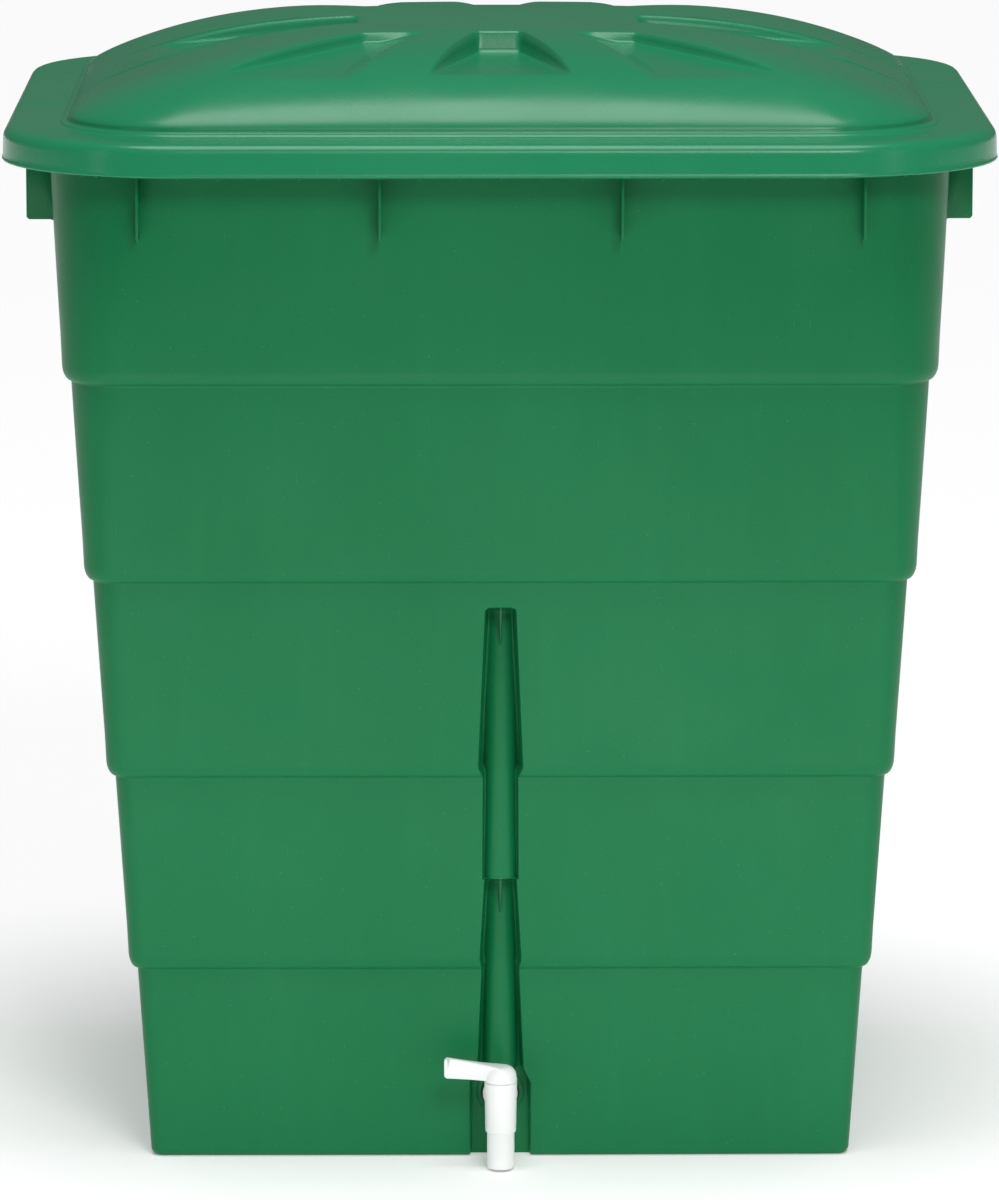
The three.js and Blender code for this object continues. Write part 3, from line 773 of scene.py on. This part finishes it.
def spun(bm, profile, centre, axis, steps=72):
    """A closed turned shape. The profile gives radius and place along the axis."""
    upright = axis == "Z"
    verts = [
        bm.verts.new((radius, centre[1], along) if upright else (radius, along, centre[2]))
        for radius, along in profile
    ]
    edges = [bm.edges.new(pair) for pair in zip(verts, verts[1:])]
    if min(profile[0][0], profile[-1][0]) > 0:
        edges.append(bm.edges.new((verts[-1], verts[0])))
    bmesh.ops.spin(
        bm, geom=verts + edges, cent=centre, axis=(0, 0, 1) if upright else (0, 1, 0),
        angle=math.tau, steps=steps, use_merge=True)
    bmesh.ops.remove_doubles(bm, verts=bm.verts, dist=1e-6)
    bmesh.ops.recalc_face_normals(bm, faces=bm.faces)


def turned(name, profile, centre=(0, TAP_Y, 0), axis="Z", steps=72):
    bm = bmesh.new()
    spun(bm, profile, centre, axis, steps)
    return as_object(bm, name)


ON_SHANK = (0, 0, SHANK_Z)
barrel = turned("barrel", [
    (0, tap_low.z), (0.0096, tap_low.z), (0.0107, tap_low.z + 0.0004), (0.0112, tap_low.z + 0.0011),
    (SPOUT_RADIUS, tap_low.z + 0.0022), (SPOUT_RADIUS, SPOUT_TOP - 0.0006),
    (SPOUT_RADIUS + 0.0003, SPOUT_TOP - 0.0001), (BARREL_FOOT_RADIUS - 0.0007, SPOUT_TOP),
    (BARREL_FOOT_RADIUS - 0.0002, SPOUT_TOP + 0.0003), (BARREL_FOOT_RADIUS, SPOUT_TOP + 0.0010),
    (BARREL_TOP_RADIUS, tap_high.z - 0.0008), (BARREL_TOP_RADIUS - 0.0002, tap_high.z - 0.0002),
    (BARREL_TOP_RADIUS - 0.0007, tap_high.z), (0, tap_high.z),
])
thread_core = SHANK_RADIUS - THREAD_DEPTH
neck = turned("neck", [
    (0, TAP_Y), (SHANK_RADIUS, TAP_Y), (SHANK_RADIUS, SHOULDER_FRONT - 0.0012),
    (SHANK_RADIUS + 0.0004, SHOULDER_FRONT - 0.0003), (SHANK_RADIUS + 0.0014, SHOULDER_FRONT),
    (SHOULDER_RADIUS - 0.0006, SHOULDER_FRONT), (SHOULDER_RADIUS, SHOULDER_FRONT + 0.0006),
    (SHOULDER_RADIUS, SHOULDER_BACK - 0.0003), (SHOULDER_RADIUS - 0.0003, SHOULDER_BACK),
    (thread_core, SHOULDER_BACK), (thread_core, tap_high.y - 0.0008),
    (thread_core - 0.0008, tap_high.y), (0, tap_high.y),
], ON_SHANK, "Y")
bore = turned("bore", [
    (0, tap_low.z - 0.001), (SPOUT_BORE + 0.0003, tap_low.z - 0.001), (SPOUT_BORE, tap_low.z + 0.0006),
    (SPOUT_BORE, PLUG_SEAT), (PLUG_RADIUS + GAP, PLUG_SEAT), (PLUG_RADIUS + GAP, tap_high.z + 0.001),
    (0, tap_high.z + 0.001),
])
waterway = turned("waterway", [
    (0, TAP_Y), (WATERWAY_RADIUS, TAP_Y), (WATERWAY_RADIUS, tap_high.y + 0.001), (0, tap_high.y + 0.001),
], ON_SHANK, "Y", 48)
tap_core = joined(joined(joined(barrel, neck, "UNION"), bore, "DIFFERENCE"), waterway, "DIFFERENCE")

tap_mesh = bmesh.new()
tap_mesh.from_mesh(tap_core.data)
bpy.data.objects.remove(tap_core)
thread_start = SHOULDER_BACK + 0.0014
thread_turns = int((tap_high.y - 0.0012 - thread_start) / THREAD_PITCH)
tooth = [
    (thread_core - 0.0004, 0), (thread_core, 0), (SHANK_RADIUS, 0.0005), (SHANK_RADIUS, 0.0008),
    (thread_core, 0.0013), (thread_core - 0.0004, 0.0013),
]
tooth_verts = [tap_mesh.verts.new((radius, thread_start + along, SHANK_Z)) for radius, along in tooth]
tooth_face = tap_mesh.faces.new(tooth_verts)
bmesh.ops.spin(
    tap_mesh, geom=[tooth_face], cent=ON_SHANK, axis=(0, 1, 0), angle=math.tau * thread_turns,
    steps=24 * thread_turns, dvec=(0, THREAD_PITCH / 24, 0))
bmesh.ops.recalc_face_normals(tap_mesh, faces=tap_mesh.faces)
tap_body = as_object(tap_mesh, "tap_barrel")

TAP_WHITE = (0.93, 0.935, 0.93, 1.0)
TAP_SHADE = (0.89, 0.90, 0.895, 1.0)
tap_finish = plastic(
    "white_tap_plastic", TAP_WHITE, TAP_SHADE, roughness=0.30, spread=0.06, grain=1400.0,
    grain_depth=0.00008, specks=0.15)
finish_piece(tap_body, tap_finish, "tank", "tap_white", "tap_body")

# ---------------------------------------------------------------- tap lever
# The part that turns: a domed cap with a flat blade for the thumb, and below it the hollow
# plug with one side port, all in one white moulding.

lever_low, lever_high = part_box("tap_lever")
UNDER_CAP = 0.0754
HEAD_TOP = 0.0890
O_RING_HEIGHTS = {"lower": 0.043, "upper": 0.066}
GROOVE_FLOOR = 0.0083
GROOVE_HALF = 0.0011
BLADE_HALF = 0.0030
BLADE_ROOT_SPREAD = 0.0072
BLADE_CUTS = 12
SHARP_ANGLE = 0.7

plug_profile = [
    (0, PLUG_SEAT + GAP), (PLUG_RADIUS - 0.0005, PLUG_SEAT + GAP),
    (PLUG_RADIUS, PLUG_SEAT + GAP + 0.0005)]
for groove_z in O_RING_HEIGHTS.values():
    plug_profile += [
        (PLUG_RADIUS, groove_z - GROOVE_HALF), (GROOVE_FLOOR, groove_z - GROOVE_HALF),
        (GROOVE_FLOOR, groove_z + GROOVE_HALF), (PLUG_RADIUS, groove_z + GROOVE_HALF)]
cap_profile = [
    (PLUG_RADIUS, UNDER_CAP), (BARREL_TOP_RADIUS - 0.0004, UNDER_CAP),
    (BARREL_TOP_RADIUS, UNDER_CAP + 0.0004), (BARREL_TOP_RADIUS, UNDER_CAP + 0.0030),
    (BARREL_TOP_RADIUS - 0.0002, UNDER_CAP + 0.0035)]
for step in range(9):
    turn = math.pi / 2 * step / 8
    cap_profile.append((
        0.0048 + 0.0084 * math.cos(turn) ** 0.9,
        UNDER_CAP + 0.0042 + (HEAD_TOP - UNDER_CAP - 0.0042) * math.sin(turn)))
cap_profile.append((0, HEAD_TOP + 0.0001))
cap = turned("cap", plug_profile + cap_profile)

blade_mesh = bmesh.new()
blade_outline = [(0.004, UNDER_CAP + 0.0008), (lever_low.x + 0.003, UNDER_CAP + 0.0031)]
for step in range(1, 5):
    turn = math.pi / 2 * step / 5
    blade_outline.append((
        lever_low.x + 0.003 * (1 - math.sin(turn)), UNDER_CAP + 0.0031 + 0.003 * (1 - math.cos(turn))))
blade_outline.append((lever_low.x, UNDER_CAP + 0.0061))
blade_outline.append((lever_low.x, lever_high.z - 0.0033))
for step in range(1, 5):
    turn = math.pi / 2 * step / 5
    blade_outline.append((
        lever_low.x + 0.003 * (1 - math.cos(turn)), lever_high.z - 0.0033 + 0.003 * math.sin(turn)))
blade_outline += [(lever_low.x + 0.003, lever_high.z - 0.0003), (0.001, HEAD_TOP - 0.0008)]
blade_verts = [blade_mesh.verts.new((x, -0.5, z)) for x, z in blade_outline]
blade_face = blade_mesh.faces.new(blade_verts)
blade_top = bmesh.ops.extrude_face_region(blade_mesh, geom=[blade_face])["geom"]
blade_top_verts = [item for item in blade_top if isinstance(item, bmesh.types.BMVert)]
bmesh.ops.translate(blade_mesh, vec=(0, 1, 0), verts=blade_top_verts)
for cut in range(1, BLADE_CUTS):
    bmesh.ops.bisect_plane(
        blade_mesh, geom=blade_mesh.verts[:] + blade_mesh.edges[:] + blade_mesh.faces[:],
        plane_co=(lever_low.x * (1 - cut / BLADE_CUTS) - 0.001, 0, 0), plane_no=(1, 0, 0))
for vert in blade_mesh.verts:
    out = vert.co.x / lever_low.x
    half = BLADE_HALF + BLADE_ROOT_SPREAD * max(1 - out * 1.35, 0) ** 2
    vert.co.y = TAP_Y + half * 2 * vert.co.y
bmesh.ops.recalc_face_normals(blade_mesh, faces=blade_mesh.faces)
rim = [
    edge for edge in blade_mesh.edges
    if len(edge.link_faces) == 2 and edge.calc_face_angle(0) > SHARP_ANGLE
    and edge.verts[0].co.x < -0.001
]
bmesh.ops.bevel(
    blade_mesh, geom=rim, offset=0.0011, segments=3, affect="EDGES", profile=0.5, material=-1)
blade = as_object(blade_mesh, "blade")
plug_water = turned("plug_water", [
    (0, PLUG_SEAT - 0.001), (WATERWAY_RADIUS, PLUG_SEAT - 0.001),
    (WATERWAY_RADIUS, SHANK_Z + PORT_RADIUS), (0, SHANK_Z + PORT_RADIUS)], steps=48)
port_mesh = bmesh.new()
bmesh.ops.create_cone(
    port_mesh, cap_ends=True, segments=48, radius1=PORT_RADIUS, radius2=PORT_RADIUS, depth=0.020,
    matrix=Matrix.Translation((0.010, TAP_Y, SHANK_Z)) @ Matrix.Rotation(math.pi / 2, 4, "Y"))
port = as_object(port_mesh, "port")
tap_lever = joined(joined(joined(cap, blade, "UNION"), plug_water, "DIFFERENCE"), port, "DIFFERENCE")
tap_lever.name = "tap_lever_moulding"
finish_piece(tap_lever, tap_finish, "lever", "tap_white", "tap_lever")

# ---------------------------------------------------------------- plug seals
# Two black rubber O-rings in the plug's grooves keep the water in around the port.


def rubber(name, colour, roughness):
    """Black seal rubber: dull, very finely pitted, with a grey bloom in soft patches."""
    material = bpy.data.materials.new(name)
    material.use_nodes = True
    nodes, links = material.node_tree.nodes, material.node_tree.links
    shader = nodes["Principled BSDF"]
    shader.inputs["IOR"].default_value = 1.52
    place = nodes.new("ShaderNodeTexCoord").outputs["Object"]
    bloom = nodes.new("ShaderNodeTexNoise")
    bloom.inputs["Scale"].default_value = 160.0
    links.new(place, bloom.inputs["Vector"])
    ramp = nodes.new("ShaderNodeValToRGB")
    ramp.color_ramp.elements[0].color = colour
    ramp.color_ramp.elements[1].color = tuple(part * 2.4 for part in colour[:3]) + (1.0,)
    links.new(bloom.outputs["Fac"], ramp.inputs["Fac"])
    links.new(ramp.outputs["Color"], shader.inputs["Base Color"])
    dull = nodes.new("ShaderNodeMapRange")
    dull.inputs["To Min"].default_value = roughness - 0.1
    dull.inputs["To Max"].default_value = roughness + 0.12
    links.new(bloom.outputs["Fac"], dull.inputs["Value"])
    links.new(dull.outputs["Result"], shader.inputs["Roughness"])
    pits = nodes.new("ShaderNodeTexNoise")
    pits.inputs["Scale"].default_value = 2600.0
    links.new(place, pits.inputs["Vector"])
    bump = nodes.new("ShaderNodeBump")
    bump.inputs["Strength"].default_value = 0.4
    bump.inputs["Distance"].default_value = 0.00008
    links.new(pits.outputs["Fac"], bump.inputs["Height"])
    links.new(bump.outputs["Normal"], shader.inputs["Normal"])
    return material


seal_finish = rubber("seal_rubber_black", (0.010, 0.010, 0.011, 1.0), 0.62)
O_RING_SECTION = 0.0008
O_RING_RADIUS = 0.00915
for level, ring_z in O_RING_HEIGHTS.items():
    section = [
        (O_RING_RADIUS + O_RING_SECTION * math.cos(turn), ring_z + O_RING_SECTION * math.sin(turn))
        for turn in (math.tau * step / 16 for step in range(16))
    ]
    o_ring = turned("o_ring_" + level, section)
    finish_piece(o_ring, seal_finish, "lever", "seal_rubber", "plug_o_ring_" + level)

# ---------------------------------------------------------------- washers
# Flat rubber washers on both sides of the tank wall. The outer one is squeezed by the
# shoulder and the inner one by the nut, so their rims bulge a little.

WASHER_RADIUS = 0.016
WASHER_BORE = SHANK_RADIUS + GAP
for side in ("outer", "inner"):
    washer_low, washer_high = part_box(side + "_washer")
    front, back = washer_low.y, washer_high.y
    middle = (front + back) / 2
    washer = turned(side + "_seal_washer", [
        (WASHER_BORE + 0.0002, front), (WASHER_RADIUS - 0.0006, front),
        (WASHER_RADIUS - 0.0002, front + 0.0005),
        (WASHER_RADIUS, middle), (WASHER_RADIUS - 0.0002, back - 0.0005), (WASHER_RADIUS - 0.0006, back),
        (WASHER_BORE + 0.0002, back), (WASHER_BORE, back - 0.0004), (WASHER_BORE, front + 0.0004),
    ], ON_SHANK, "Y")
    finish_piece(washer, seal_finish, "tank", "seal_rubber", side + "_washer")

# ---------------------------------------------------------------- lock nut
# Moulded hexagon nut, chamfered on both faces, screwed on the shank inside the tank.

nut_low, nut_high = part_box("lock_nut")
NUT_MOUTH = WASHER_BORE + 0.0010
nut_radius = (nut_high.z - nut_low.z) / 2
nut_mesh = bmesh.new()
nut_depth = nut_high.y - nut_low.y
bmesh.ops.create_cone(
    nut_mesh, cap_ends=True, segments=6, radius1=nut_radius, radius2=nut_radius, depth=nut_depth,
    matrix=(Matrix.Translation((0, (nut_low.y + nut_high.y) / 2, SHANK_Z))
            @ Matrix.Rotation(math.pi / 2, 4, "X")))
nut = as_object(nut_mesh, "nut_blank", smooth=False)
chamfers = turned("chamfers", [
    (0, nut_low.y), (nut_radius - 0.0020, nut_low.y), (nut_radius + 0.0004, nut_low.y + 0.0014),
    (nut_radius + 0.0004, nut_high.y - 0.0014), (nut_radius - 0.0020, nut_high.y), (0, nut_high.y),
], ON_SHANK, "Y", 96)
nut_bore = turned("nut_bore", [
    (0, nut_low.y - 0.001), (NUT_MOUTH, nut_low.y - 0.001), (NUT_MOUTH, nut_low.y),
    (WASHER_BORE, nut_low.y + 0.0010), (WASHER_BORE, nut_high.y - 0.0010),
    (NUT_MOUTH, nut_high.y), (NUT_MOUTH, nut_high.y + 0.001), (0, nut_high.y + 0.001),
], ON_SHANK, "Y", 96)
lock_nut = joined(joined(nut, chamfers, "INTERSECT"), nut_bore, "DIFFERENCE")
lock_nut.name = "shank_nut"
finish_piece(lock_nut, tap_finish, "tank", "tap_white", "lock_nut")

# ---------------------------------------------------------------- floor and light
# A plain white studio floor, a soft grey surround and broad lights: the key high in front, a low
# one at the foot of the tank, a tall narrow one on each side, and a soft sun straight above.

FLOOR_FRONT = 1.9
FLOOR_HALF_X = 16
FLOOR_HALF_Y = 12
WHITE = (1.0, 1.0, 1.0, 1.0)
floor_mesh = bmesh.new()
bmesh.ops.create_grid(floor_mesh, x_segments=1, y_segments=1, size=1)
bmesh.ops.scale(floor_mesh, verts=floor_mesh.verts, vec=(FLOOR_HALF_X, FLOOR_HALF_Y, 1))
bmesh.ops.translate(floor_mesh, verts=floor_mesh.verts, vec=(0, FLOOR_HALF_Y - FLOOR_FRONT, 0))
floor = as_object(floor_mesh, "studio_floor", smooth=False)
floor_finish = bpy.data.materials.new("white_studio_floor")
floor_finish.use_nodes = True
floor_shader = floor_finish.node_tree.nodes["Principled BSDF"]
floor_shader.inputs["Base Color"].default_value = (0.93, 0.93, 0.93, 1.0)
floor_shader.inputs["Roughness"].default_value = 0.9
floor_shader.inputs["Specular IOR Level"].default_value = 0.1
floor_shader.inputs["Emission Color"].default_value = WHITE
floor_shader.inputs["Emission Strength"].default_value = 0.2
floor.data.materials.append(floor_finish)

world = bpy.data.worlds.new("studio")
bpy.context.scene.world = world
world.use_nodes = True
surround = world.node_tree.nodes["Background"]
surround.inputs["Color"].default_value = WHITE
surround.inputs["Strength"].default_value = 0.12
bpy.context.scene.view_settings.view_transform = "Standard"


def soft_light(name, power, size, place, aim):
    """A rectangular softbox, turned to look at a point."""
    data = bpy.data.lights.new(name, "AREA")
    data.shape = "RECTANGLE"
    data.size, data.size_y = size
    data.energy = power
    lamp = bpy.data.objects.new(name, data)
    lamp.location = place
    lamp.rotation_euler = (Vector(aim) - Vector(place)).to_track_quat("-Z", "Y").to_euler()
    bpy.context.collection.objects.link(lamp)


STRIP_SIZE = (0.35, 1.6)
soft_light("key", power=84, size=(1.6, 1.2), place=(1.0, -4.4, 3.4), aim=(0, 0, 0.4))
soft_light("floor_glow", power=7, size=(2.4, 0.8), place=(0, -1.25, 0.03), aim=(0, -0.1, 0.6))
soft_light("left_strip", power=3, size=STRIP_SIZE, place=(-2.7, -2.2, 1.3), aim=(0, 0, 0.6))
soft_light("right_strip", power=3, size=STRIP_SIZE, place=(2.5, -2.4, 1.2), aim=(0, 0, 0.6))
ceiling = bpy.data.lights.new("ceiling", "SUN")
ceiling.energy = 2.2
ceiling.angle = math.radians(40)
ceiling_lamp = bpy.data.objects.new("ceiling", ceiling)
ceiling_lamp.rotation_euler = (math.radians(6), 0, 0)
bpy.context.collection.objects.link(ceiling_lamp)
